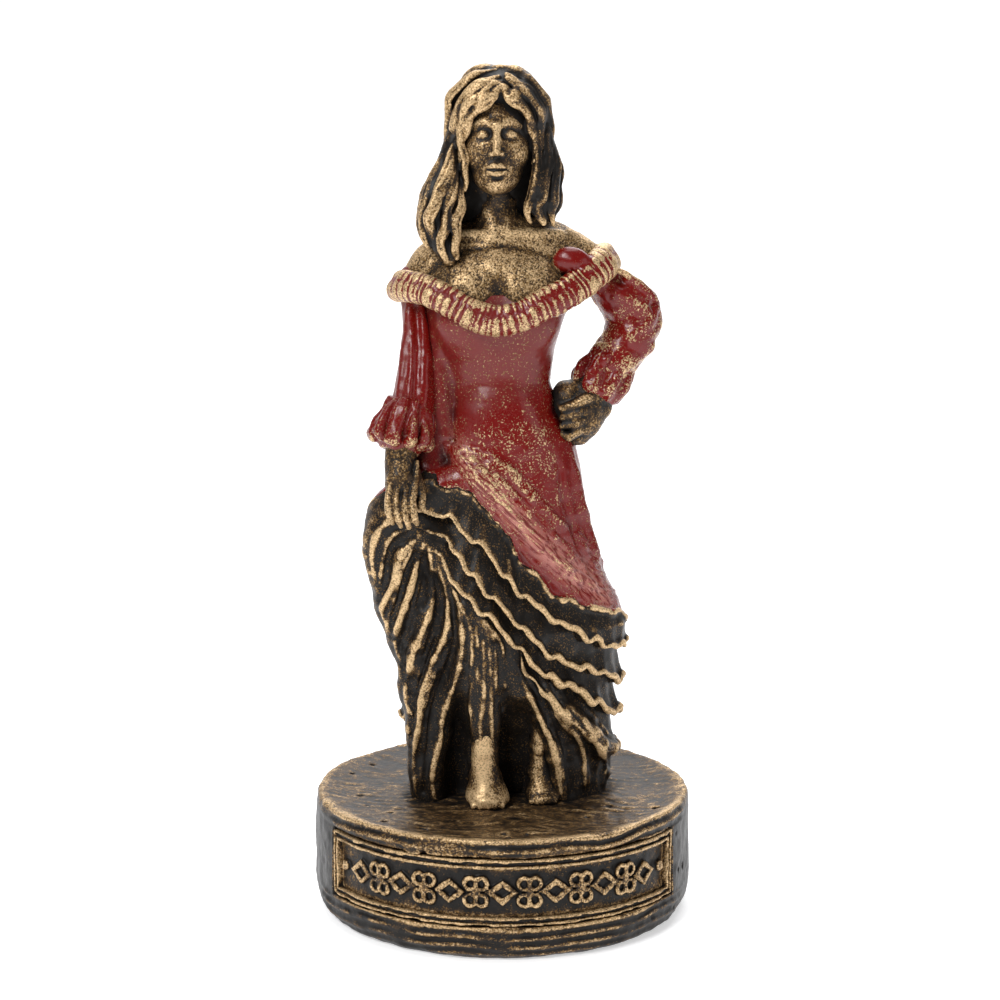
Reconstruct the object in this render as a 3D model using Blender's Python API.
"""Painted resin figurine: a standing dancer in a frilled gown, one hand on the hip, on a round plinth.

Frame: the origin is the middle of the plinth's underside, +Z is up and the figure faces -Y, so its
right hand is at -X. Sizes are written in millimetres and MM turns them into Blender's metres.
Angles round the skirt are in degrees from the front, growing towards +X.

Each sculpted piece is a closed body of its own. Where two pieces meet, one of them is the owner of
the space and the other is cut back from it by GAP, which leaves pegs in sockets and faces on faces.
"""

import math

import bmesh
import bpy
from mathutils import Vector

MM = 0.001
GAP = 0.25

# Driving dimensions
PLINTH_RADIUS = 27.2
PLINTH_HEIGHT = 16.2
FIGURE_TOP = 120.0
PLAQUE_HALF_ANGLE = 61.0
PLAQUE_BOTTOM = 5.2
PLAQUE_TOP = 14.4
PLAQUE_DEPTH = 1.5
PLAQUE_BORDER = 1.1
WAIST_HEIGHT = 66.0
TIER_START = -46.0
TIER_END = 284.0
TIER_STEP = 6.0
SKIRT_SEGMENTS = 40

PAINTS = {
    "antique_black": ((0.035, 0.03, 0.025), 0.5, 0.1),
    "old_gold": ((0.45, 0.31, 0.13), 0.42, 0.6),
    "skin_bronze": ((0.30, 0.21, 0.10), 0.42, 0.5),
    "hair_bronze": ((0.16, 0.11, 0.05), 0.45, 0.4),
    "gown_red": ((0.33, 0.02, 0.02), 0.28, 0.05),
    "frill_red_gold": ((0.40, 0.16, 0.09), 0.40, 0.3),
}

# Half-width, half-depth and centre of the inner skirt at some heights: (z, centre x, centre y, a, b)
CORE = [
    (16.6, 1.3, 3.2, 12.3, 8.2),
    (24.0, 1.4, 2.5, 13.0, 8.6),
    (33.0, 1.2, 1.6, 13.8, 9.0),
    (42.0, 0.6, 1.0, 14.2, 9.2),
    (48.0, 0.2, 0.8, 12.9, 8.7),
    (54.0, -0.2, 0.5, 11.2, 7.8),
    (60.0, 0.4, 0.3, 9.0, 6.4),
    (62.5, 0.6, 0.3, 7.0, 5.0),
]

# The gown's outer surface, by height
GOWN = [
    (41.0, 0.9, 1.0, 16.7, 11.3),
    (44.0, 0.7, 1.0, 15.9, 11.0),
    (50.0, 0.2, 0.8, 14.0, 10.1),
    (56.0, 0.1, 0.6, 12.3, 8.9),
    (62.0, 0.8, 0.4, 10.7, 7.7),
    (66.0, 1.2, 0.3, 9.7, 6.9),
    (70.0, 0.3, 0.3, 8.6, 6.1),
    (73.5, -0.5, 0.3, 7.6, 5.4),
    (77.0, -0.9, 0.2, 7.8, 5.7),
    (81.0, -0.9, -0.1, 8.5, 6.5),
    (85.0, -0.6, -0.3, 9.3, 7.1),
    (87.4, -0.4, 0.0, 10.4, 6.8),
]

# Height of each hem round the skirt: (degrees, z). Hem 1 is where the red gown ends.
HEMS = [
    [(-50, 63.0), (-30, 61.5), (-14, 60.0), (0, 55.5), (8, 51.5), (20, 49.3), (30, 46.3), (45, 45.2),
     (62, 43.6), (85, 42.0), (120, 41.5), (180, 43.0), (215, 46.0), (250, 51.0), (284, 59.0),
     (310, 63.0)],
    [(-50, 59.5), (-27, 57.2), (-12, 54.5), (0, 50.2), (17, 45.8), (40, 41.8), (64, 39.0), (85, 38.0),
     (120, 37.2), (180, 38.4), (215, 41.0), (250, 45.0), (284, 53.0)],
    [(-50, 57.0), (-29, 53.6), (-8, 48.2), (3, 44.4), (16, 40.9), (28, 37.9), (48, 36.0), (82, 32.9),
     (120, 32.5), (180, 33.5), (215, 35.5), (250, 39.0), (284, 46.0)],
    [(-50, 54.0), (-28, 50.2), (-10, 45.0), (3, 40.8), (14, 37.9), (24, 34.8), (41, 33.2), (54, 30.9),
     (82, 28.1), (120, 27.5), (180, 28.5), (215, 30.0), (250, 32.5), (284, 37.0)],
    [(8, 34.6), (22, 31.6), (36, 28.6), (50, 26.3), (67, 23.3), (90, 22.2), (120, 22.0), (180, 22.5),
     (215, 23.5), (250, 25.0), (284, 28.0)],
    [(8, 17.0), (284, 17.0)],
]


# ---------------------------------------------------------------- small helpers


def clear_scene():
    for item in list(bpy.data.objects):
        bpy.data.objects.remove(item)


def paint(name):
    """The Principled material of that paint, made once."""
    found = bpy.data.materials.get(name)
    if found:
        return found
    colour, roughness, metallic = PAINTS[name]
    made = bpy.data.materials.new(name)
    made.use_nodes = True
    shader = made.node_tree.nodes["Principled BSDF"]
    shader.inputs["Base Color"].default_value = (*colour, 1.0)
    shader.inputs["Roughness"].default_value = roughness
    shader.inputs["Metallic"].default_value = metallic
    return made


def smooth_line(knots, at):
    """Value at `at` of a Catmull-Rom curve through (place, value) knots, held flat past its ends."""
    if at <= knots[0][0]:
        return knots[0][1]
    if at >= knots[-1][0]:
        return knots[-1][1]
    i = max(k for k in range(len(knots) - 1) if knots[k][0] <= at)
    (x0, y0), (x1, y1) = knots[i], knots[i + 1]
    before = knots[max(i - 1, 0)]
    after = knots[min(i + 2, len(knots) - 1)]
    slope0 = (y1 - before[1]) / (x1 - before[0])
    slope1 = (after[1] - y0) / (after[0] - x0)
    t = (at - x0) / (x1 - x0)
    span = x1 - x0
    return (
        (2 * t**3 - 3 * t**2 + 1) * y0
        + (t**3 - 2 * t**2 + t) * span * slope0
        + (3 * t**2 - 2 * t**3) * y1
        + (t**3 - t**2) * span * slope1
    )


def section_at(sections, z):
    """(centre x, centre y, a, b) of a stack of ellipses at a height."""
    return [smooth_line([(s[0], s[k]) for s in sections], z) for k in (1, 2, 3, 4)]


def skirt_point(sections, degrees, z, out=0.0):
    """The point at an angle and height on a stack of ellipses, moved outwards by `out`."""
    cx, cy, a, b = section_at(sections, z)
    turn = math.radians(degrees)
    return Vector((cx + (a + out) * math.sin(turn), cy - (b + out) * math.cos(turn), z))


def add_object(name, bm, paint_name):
    """One named object from a bmesh in millimetres, shaded smooth."""
    bmesh.ops.scale(bm, vec=(MM, MM, MM), verts=bm.verts)
    bmesh.ops.recalc_face_normals(bm, faces=bm.faces)
    mesh = bpy.data.meshes.new(name)
    bm.to_mesh(mesh)
    bm.free()
    mesh.materials.append(paint(paint_name))
    mesh.shade_smooth()
    mesh.set_sharp_from_angle(angle=math.radians(42))
    made = bpy.data.objects.new(name, mesh)
    bpy.context.scene.collection.objects.link(made)
    return made


def loft(name, rings, paint_name, closed=False):
    """A closed body through rings of equal length. Open runs of rings get a fan at each end."""
    bm = bmesh.new()
    loops = []
    for ring in rings:
        verts = [bm.verts.new(p) for p in ring]
        loops.append([bm.edges.new((verts[i - 1], verts[i])) for i in range(len(verts))])
    pairs = list(zip(loops, loops[1:]))
    if closed:
        pairs.append((loops[-1], loops[0]))
    for first, second in pairs:
        bmesh.ops.bridge_loops(bm, edges=first + second)
    if not closed:
        for end in (loops[0], loops[-1]):
            cap = bmesh.ops.contextual_create(bm, geom=end)["faces"]
            bmesh.ops.poke(bm, faces=cap)
    return add_object(name, bm, paint_name)


def stacked_rings(sections, segments, slope=0.0):
    """Rings of a stack of ellipses. `slope` lifts each ring towards +X, as raised shoulders do."""
    rings = []
    for z, cx, cy, a, b in sections:
        ring = []
        for i in range(segments):
            turn = 2 * math.pi * i / segments
            x, y = cx + a * math.sin(turn), cy - b * math.cos(turn)
            ring.append(Vector((x, y, z + slope * x)))
        rings.append(ring)
    return rings


def smooth_path(points, steps):
    """A path of (x, y, z, radius across, radius front to back) knots, with `steps` per span."""
    places = range(len(points))
    count = (len(points) - 1) * steps
    return [
        [smooth_line(list(zip(places, [p[k] for p in points])), i / steps) for k in range(5)]
        for i in range(count + 1)
    ]


def limb(name, points, paint_name, segments=14, steps=2):
    """A rounded tube along a path of (x, y, z, radius across, radius front to back)."""
    path = smooth_path(points, steps)
    rings = []
    for i, (x, y, z, across, deep) in enumerate(path):
        before, after = path[max(i - 1, 0)], path[min(i + 1, len(path) - 1)]
        along = (Vector(after[:3]) - Vector(before[:3])).normalized()
        side = Vector((0, 1, 0)).cross(along).normalized()
        front = along.cross(side)
        for squeeze, shift in end_rounding(i, len(path), across):
            centre = Vector((x, y, z)) + along * shift
            rings.append([
                centre
                + side * across * squeeze * math.cos(2 * math.pi * k / segments)
                + front * deep * squeeze * math.sin(2 * math.pi * k / segments)
                for k in range(segments)
            ])
    return loft(name, rings, paint_name)


def end_rounding(index, count, radius):
    """(scale, shift) of the rings at a place on a limb: its two ends get a small dome."""
    if index == 0:
        return [(0.55, -0.42 * radius), (1.0, 0.0)]
    if index == count - 1:
        return [(1.0, 0.0), (0.55, 0.42 * radius)]
    return [(1.0, 0.0)]


def arc_block(name, inner, outer, bottom, top, half_angle, paint_name, steps=24):
    """A block curved round the Z axis, centred on the front."""
    rings = []
    for i in range(steps + 1):
        turn = math.radians(half_angle * (2 * i / steps - 1))
        rings.append([
            Vector((r * math.sin(turn), -r * math.cos(turn), z))
            for r, z in ((inner, bottom), (outer, bottom), (outer, top), (inner, top))
        ])
    return loft(name, rings, paint_name)


def subtract(target, cutter, label):
    cut = target.modifiers.new(label, "BOOLEAN")
    cut.operation = "DIFFERENCE"
    cut.object = cutter
    cutter.hide_render = True
    cutter.display_type = "WIRE"


def clear_of(target, *owners):
    """Cuts the target back from each owner, swollen by GAP, so that the two never touch."""
    for owner in owners:
        cutter = bpy.data.objects.new(f"room_{owner.name}_in_{target.name}", owner.data)
        bpy.context.scene.collection.objects.link(cutter)
        swell = cutter.modifiers.new("gap", "DISPLACE")
        swell.mid_level = 0.0
        swell.strength = GAP * MM
        subtract(target, cutter, f"clear_{owner.name}")


# ---------------------------------------------------------------- the plinth and its plaque


def make_plinth():
    r = PLINTH_RADIUS
    profile = [
        (0.0, r - 2.7), (0.5, r - 1.7), (1.6, r - 0.8), (3.2, r - 0.15), (4.4, r),
        (15.2, r - 0.3), (15.9, r - 0.7), (PLINTH_HEIGHT, r - 1.3),
    ]
    rings = stacked_rings([(z, 0.0, 0.0, radius, radius) for z, radius in profile], 60)
    return loft("plinth", rings, "antique_black")


def make_plaque():
    """The raised frame and the field inside it, both seated in one pocket in the plinth's front."""
    back = PLINTH_RADIUS - PLAQUE_DEPTH
    face = PLINTH_RADIUS - 0.05
    pocket = arc_block("plaque_pocket", back - GAP, PLINTH_RADIUS + 2, PLAQUE_BOTTOM - GAP,
                       PLAQUE_TOP + GAP, PLAQUE_HALF_ANGLE + 0.6, "old_gold")
    border_degrees = math.degrees(PLAQUE_BORDER / PLINTH_RADIUS)
    frame = arc_block("plaque_frame", back, face, PLAQUE_BOTTOM, PLAQUE_TOP,
                      PLAQUE_HALF_ANGLE, "old_gold")
    window = arc_block("plaque_window", back - 2, face + 2, PLAQUE_BOTTOM + PLAQUE_BORDER,
                       PLAQUE_TOP - PLAQUE_BORDER, PLAQUE_HALF_ANGLE - border_degrees, "old_gold")
    subtract(frame, window, "window")
    clearance = PLAQUE_BORDER + GAP
    arc_block("plaque_field", back, face - 0.9, PLAQUE_BOTTOM + clearance, PLAQUE_TOP - clearance,
              PLAQUE_HALF_ANGLE - border_degrees - math.degrees(GAP / PLINTH_RADIUS), "old_gold")
    return pocket


# ---------------------------------------------------------------- legs and skirt


def make_legs():
    peg = PLINTH_HEIGHT - 3.2
    top = PLINTH_HEIGHT
    right = [
        (peg, -2.2, -5.2, 1.5, 1.5), (top - 0.1, -2.2, -5.2, 1.6, 1.6), (top + 0.3, -2.2, -6.4, 3.1, 4.0),
        (top + 1.4, -2.2, -6.2, 3.1, 3.7), (19.6, -2.1, -5.8, 2.4, 2.7), (22.5, -1.9, -5.7, 1.9, 2.1),
        (27.0, -1.9, -5.7, 2.0, 2.2), (32.0, -2.1, -5.8, 2.5, 2.8), (37.0, -2.3, -5.9, 2.9, 3.1),
        (43.0, -2.4, -5.6, 2.6, 2.8), (47.0, -2.2, -5.0, 2.3, 2.5),
    ]
    left = [
        (peg, 6.4, -2.4, 1.5, 1.5), (top - 0.1, 6.4, -2.4, 1.6, 1.6), (top + 0.3, 6.4, -4.0, 2.8, 3.8),
        (top + 1.3, 6.4, -3.9, 2.8, 3.5), (19.4, 6.1, -3.5, 2.1, 2.5), (23.0, 5.8, -3.2, 1.9, 2.0),
        (28.0, 5.4, -3.2, 2.2, 2.3), (33.0, 5.0, -3.2, 2.5, 2.6), (38.0, 4.6, -3.0, 2.4, 2.5),
    ]
    return [
        loft("right_leg", stacked_rings(right, 16), "skin_bronze"),
        loft("left_leg", stacked_rings(left, 16), "skin_bronze"),
    ]


def make_underskirt():
    return loft("underskirt", stacked_rings(CORE, 30), "antique_black")


def hem_flare(tier, degrees):
    """How far a hem stands out from the inner skirt, with the waves of the gathered cloth."""
    waves = 11 + tier
    return 2.3 + 0.55 * math.sin(math.radians(waves * degrees + 70 * tier))


def make_ruffle_tier(tier, start, end):
    """The band of cloth between two hems: it hangs close at its top and flares to its lower hem."""
    upper, lower = HEMS[tier - 1], HEMS[tier]
    steps = round((end - start) / TIER_STEP)
    rings = []
    for i in range(steps + 1):
        degrees = start + (end - start) * i / steps
        top = smooth_line(upper, degrees) - GAP
        bottom = smooth_line(lower, degrees)
        flare = hem_flare(tier, degrees)
        middle = 0.45 * top + 0.55 * bottom
        rings.append([
            skirt_point(CORE, degrees, bottom, GAP),
            skirt_point(CORE, degrees, bottom, flare),
            skirt_point(CORE, degrees, middle, 0.5 + 0.45 * flare),
            skirt_point(CORE, degrees, top, 1.1),
            skirt_point(CORE, degrees, top, GAP),
        ])
    return loft(f"ruffle_tier_{tier}", rings, "antique_black")


def drape_rings(fold_depth, margin):
    """Sections of the gathered cloth that falls from the right hand, with or without its folds."""
    sections = [
        (16.7, -9.9, -3.0, 3.2, 4.3), (24.0, -10.2, -3.9, 3.5, 4.8), (32.0, -10.9, -4.2, 4.0, 5.2),
        (40.0, -12.0, -3.8, 4.6, 5.4), (46.0, -13.4, -3.2, 5.0, 5.4), (51.0, -14.3, -3.4, 5.1, 5.2),
        (55.0, -14.7, -4.0, 4.7, 4.6), (58.5, -14.8, -4.6, 3.7, 3.5), (60.5, -14.8, -4.8, 2.3, 2.1),
    ]
    folds, per_fold = 9, 4
    rings = []
    for z, cx, cy, a, b in sections:
        ring = []
        for i in range(folds * per_fold):
            turn = 2 * math.pi * i / (folds * per_fold)
            swell = 1.0 + fold_depth * math.cos(folds * turn + 0.06 * z)
            x = cx + (a * swell + margin) * math.sin(turn)
            y = cy - (b * swell + margin) * math.cos(turn)
            ring.append(Vector((x, y, z)))
        rings.append(ring)
    return rings


def make_skirt_drape():
    """The cloth in its hand, and a plain helper of its outline that keeps the ruffles clear of it."""
    drape = loft("skirt_drape", drape_rings(0.1, 0.0), "antique_black")
    room = loft("room_for_drape", drape_rings(0.0, 0.75), "antique_black")
    return drape, room


# ---------------------------------------------------------------- gown, frill and bust


def make_gown():
    """Bodice and skirt in one. Below the waist the rings slide down to follow the first hem."""
    rings = stacked_rings(
        [(z, *section_at(GOWN, z)) for z in (87.4, 84.5, 79.5, 74.0, 70.0, WAIST_HEIGHT)],
        SKIRT_SEGMENTS,
    )
    turns = [360 * i / SKIRT_SEGMENTS for i in range(SKIRT_SEGMENTS)]
    turns = [t if t <= 310 else t - 360 for t in turns]
    hem = [smooth_line(HEMS[0], t) for t in turns]
    for share in (0.3, 0.65, 1.0):
        rings.append([
            skirt_point(GOWN, t, WAIST_HEIGHT + (z - WAIST_HEIGHT) * share) for t, z in zip(turns, hem)
        ])
    rings.append([skirt_point(CORE, t, z, -1.0) for t, z in zip(turns, hem)])
    return loft("gown", rings, "gown_red")


def make_bust():
    """Shoulders, chest and neck. The neck runs on as a peg into the head."""
    rings = [
        (86.2, -0.3, 0.0, 8.6, 5.7), (89.5, -0.2, 0.0, 12.2, 6.4), (92.0, 0.0, 0.4, 13.6, 6.2),
        (94.4, 0.2, 0.9, 12.4, 5.2), (96.4, 0.0, 1.2, 9.0, 4.4), (98.2, -0.3, 1.0, 4.6, 3.6),
        (100.0, -0.5, 0.6, 2.9, 2.9), (103.0, -0.5, 0.2, 2.6, 2.8), (106.5, -0.5, 0.0, 2.2, 2.4),
    ]
    return loft("bust", stacked_rings(rings, 26, slope=0.09), "skin_bronze")


def make_neckline_frill():
    """The gathered collar, a ribbed and closed roll that dips at the front."""
    ribs, around = 38, 6
    rings = []
    for i in range(2 * ribs):
        turn = math.pi * i / ribs
        rib = 1.08 if i % 2 else 0.88
        front = max(0.0, math.cos(turn))
        x, y = 0.3 + 14.6 * math.sin(turn), 0.9 - 7.0 * math.cos(turn)
        z = 91.4 + 0.13 * x - 5.2 * front**1.5 - 1.0 * max(0.0, -math.cos(turn))
        outward = Vector((math.sin(turn) * 0.6, -math.cos(turn), 0)).normalized()
        rings.append([
            Vector((x, y, z))
            + outward * 1.7 * rib * math.cos(2 * math.pi * k / around)
            + Vector((0, 0, 2.0)) * rib * math.sin(2 * math.pi * k / around)
            for k in range(around)
        ])
    return loft("neckline_frill", rings, "frill_red_gold", closed=True)


# ---------------------------------------------------------------- arms


def make_right_arm():
    """The arm that hangs: long sleeve, gathered cuff, and a hand that holds the skirt up."""
    return [
        limb("right_sleeve", [
            (-12.0, 0.6, 89.2, 2.8, 3.0), (-11.9, -0.4, 85.0, 2.4, 2.8), (-12.0, -1.8, 80.0, 2.6, 2.8),
            (-12.1, -3.2, 75.5, 3.0, 3.1), (-12.6, -4.2, 72.6, 3.2, 3.2),
        ], "gown_red"),
        limb("right_cuff", [
            (-12.8, -4.4, 72.4, 3.3, 3.3), (-13.5, -5.0, 70.0, 4.2, 3.9), (-13.9, -5.4, 67.9, 4.5, 4.1),
        ], "frill_red_gold", segments=18),
        limb("right_hand", [
            (-14.0, -5.8, 67.6, 2.4, 2.2), (-14.2, -6.7, 64.6, 2.4, 2.1), (-14.0, -8.2, 61.4, 2.6, 2.0),
            (-13.4, -9.4, 58.6, 2.8, 1.8), (-13.0, -9.6, 57.0, 2.4, 1.5),
        ], "skin_bronze"),
    ]


def make_left_arm():
    """The arm set akimbo: elbow out to the side, hand on the hip."""
    return [
        limb("left_upper_sleeve", [
            (15.2, 1.8, 90.9, 3.0, 3.0), (17.1, 2.3, 88.8, 3.2, 3.2), (19.3, 2.8, 86.0, 3.5, 3.5),
        ], "gown_red"),
        limb("left_lower_sleeve", [
            (19.3, 2.6, 84.9, 3.5, 3.4), (17.9, 2.2, 81.2, 3.3, 3.3), (15.6, 1.4, 77.6, 3.3, 3.3),
        ], "gown_red"),
        limb("left_cuff", [
            (15.6, 1.3, 77.4, 3.5, 3.5), (14.2, 0.7, 75.0, 3.9, 3.8), (13.4, 0.3, 73.6, 3.8, 3.7),
        ], "frill_red_gold", segments=18),
        limb("left_hand", [
            (13.5, 0.3, 74.0, 2.7, 2.6), (12.4, -0.2, 71.6, 2.6, 2.6), (10.9, -0.9, 69.4, 2.1, 2.3),
        ], "skin_bronze"),
    ]


# ---------------------------------------------------------------- head and hair


def make_head():
    rings = [
        (102.7, -0.5, -3.9, 1.4, 1.3), (103.6, -0.5, -3.5, 2.5, 2.2), (105.4, -0.5, -2.4, 3.3, 3.6),
        (108.0, -0.5, -1.3, 4.0, 5.0), (111.0, -0.5, -0.6, 4.3, 5.9), (114.0, -0.5, -0.2, 4.4, 6.1),
        (116.4, -0.5, 0.1, 3.7, 5.2), (118.0, -0.5, 0.4, 2.0, 3.2),
    ]
    return loft("head", stacked_rings(rings, 20), "skin_bronze")


def make_hair():
    """The crown and back of the hair, open over the face, and a lock on either side."""
    rings = [
        (93.5, -1.6, 5.4, 7.6, 2.2), (96.5, -1.8, 4.8, 8.6, 3.6), (101.0, -1.7, 3.8, 8.9, 5.2),
        (106.0, -0.8, 2.2, 8.2, 6.9), (110.5, -0.4, 1.2, 7.6, 7.9), (114.5, -0.4, 0.7, 6.9, 7.8),
        (117.4, -0.4, 0.7, 5.5, 6.3), (119.2, -0.4, 0.9, 3.3, 4.0), (FIGURE_TOP, -0.4, 1.0, 1.4, 1.8),
    ]
    crown = loft("hair_crown", stacked_rings(rings, 24), "hair_bronze")
    opening = [
        (90.0, -0.8, -8.0, 5.4, 8.4), (100.0, -0.7, -8.0, 5.0, 8.6), (108.0, -0.5, -8.0, 4.7, 7.4),
        (113.0, -0.4, -8.0, 4.2, 5.4), (116.4, -0.3, -8.0, 2.8, 2.8),
    ]
    face_opening = loft("face_opening", stacked_rings(opening, 18), "hair_bronze")
    subtract(crown, face_opening, "face_opening")
    locks = [
        limb("hair_lock_right", [
            (-3.0, -4.7, 116.2, 1.9, 2.1), (-5.2, -3.9, 113.0, 2.2, 3.0), (-5.9, -3.2, 108.5, 2.6, 3.3),
            (-7.8, -3.3, 103.0, 3.5, 3.6), (-8.4, -4.0, 98.6, 3.5, 3.3), (-7.9, -4.6, 95.2, 2.7, 2.3),
        ], "hair_bronze", segments=12),
        limb("hair_lock_left", [
            (2.2, -4.8, 116.2, 1.9, 2.1), (4.4, -3.9, 113.0, 2.2, 2.9), (5.3, -3.0, 108.5, 2.4, 3.2),
            (5.4, -2.8, 103.5, 2.6, 3.2), (5.3, -2.9, 99.6, 2.4, 2.6),
        ], "hair_bronze", segments=12),
    ]
    return crown, locks


# ---------------------------------------------------------------- assembly


def main():
    clear_scene()
    plinth = make_plinth()
    subtract(plinth, make_plaque(), "plaque_pocket")
    legs = make_legs()
    underskirt = make_underskirt()
    tiers = [make_ruffle_tier(k, TIER_START, TIER_END) for k in (1, 2, 3)]
    tiers += [make_ruffle_tier(k, start, TIER_END) for k, start in ((4, 12.0), (5, 20.0))]
    drape, drape_room = make_skirt_drape()
    gown = make_gown()
    bust = make_bust()
    frill = make_neckline_frill()
    right_sleeve, right_cuff, right_hand = make_right_arm()
    left_upper, left_lower, left_cuff, left_hand = make_left_arm()
    head = make_head()
    crown, locks = make_hair()

    clear_of(plinth, *legs)
    clear_of(underskirt, *legs)
    clear_of(drape, underskirt, legs[0], right_hand)
    for tier in tiers:
        clear_of(tier, *legs, right_hand)
        subtract(tier, drape_room, "clear_drape")
    clear_of(gown, bust, underskirt, frill)
    subtract(gown, drape_room, "clear_drape")
    clear_of(bust, frill)
    clear_of(right_sleeve, gown, bust, frill)
    clear_of(right_cuff, gown, right_sleeve, right_hand)
    clear_of(right_hand, gown)
    clear_of(left_upper, gown, bust, frill)
    clear_of(left_lower, left_upper)
    clear_of(left_cuff, left_lower, left_hand, gown)
    clear_of(left_hand, gown)
    clear_of(head, bust)
    for lock in locks:
        clear_of(lock, head, bust, frill)
    clear_of(crown, head, bust, frill, *locks)


main()
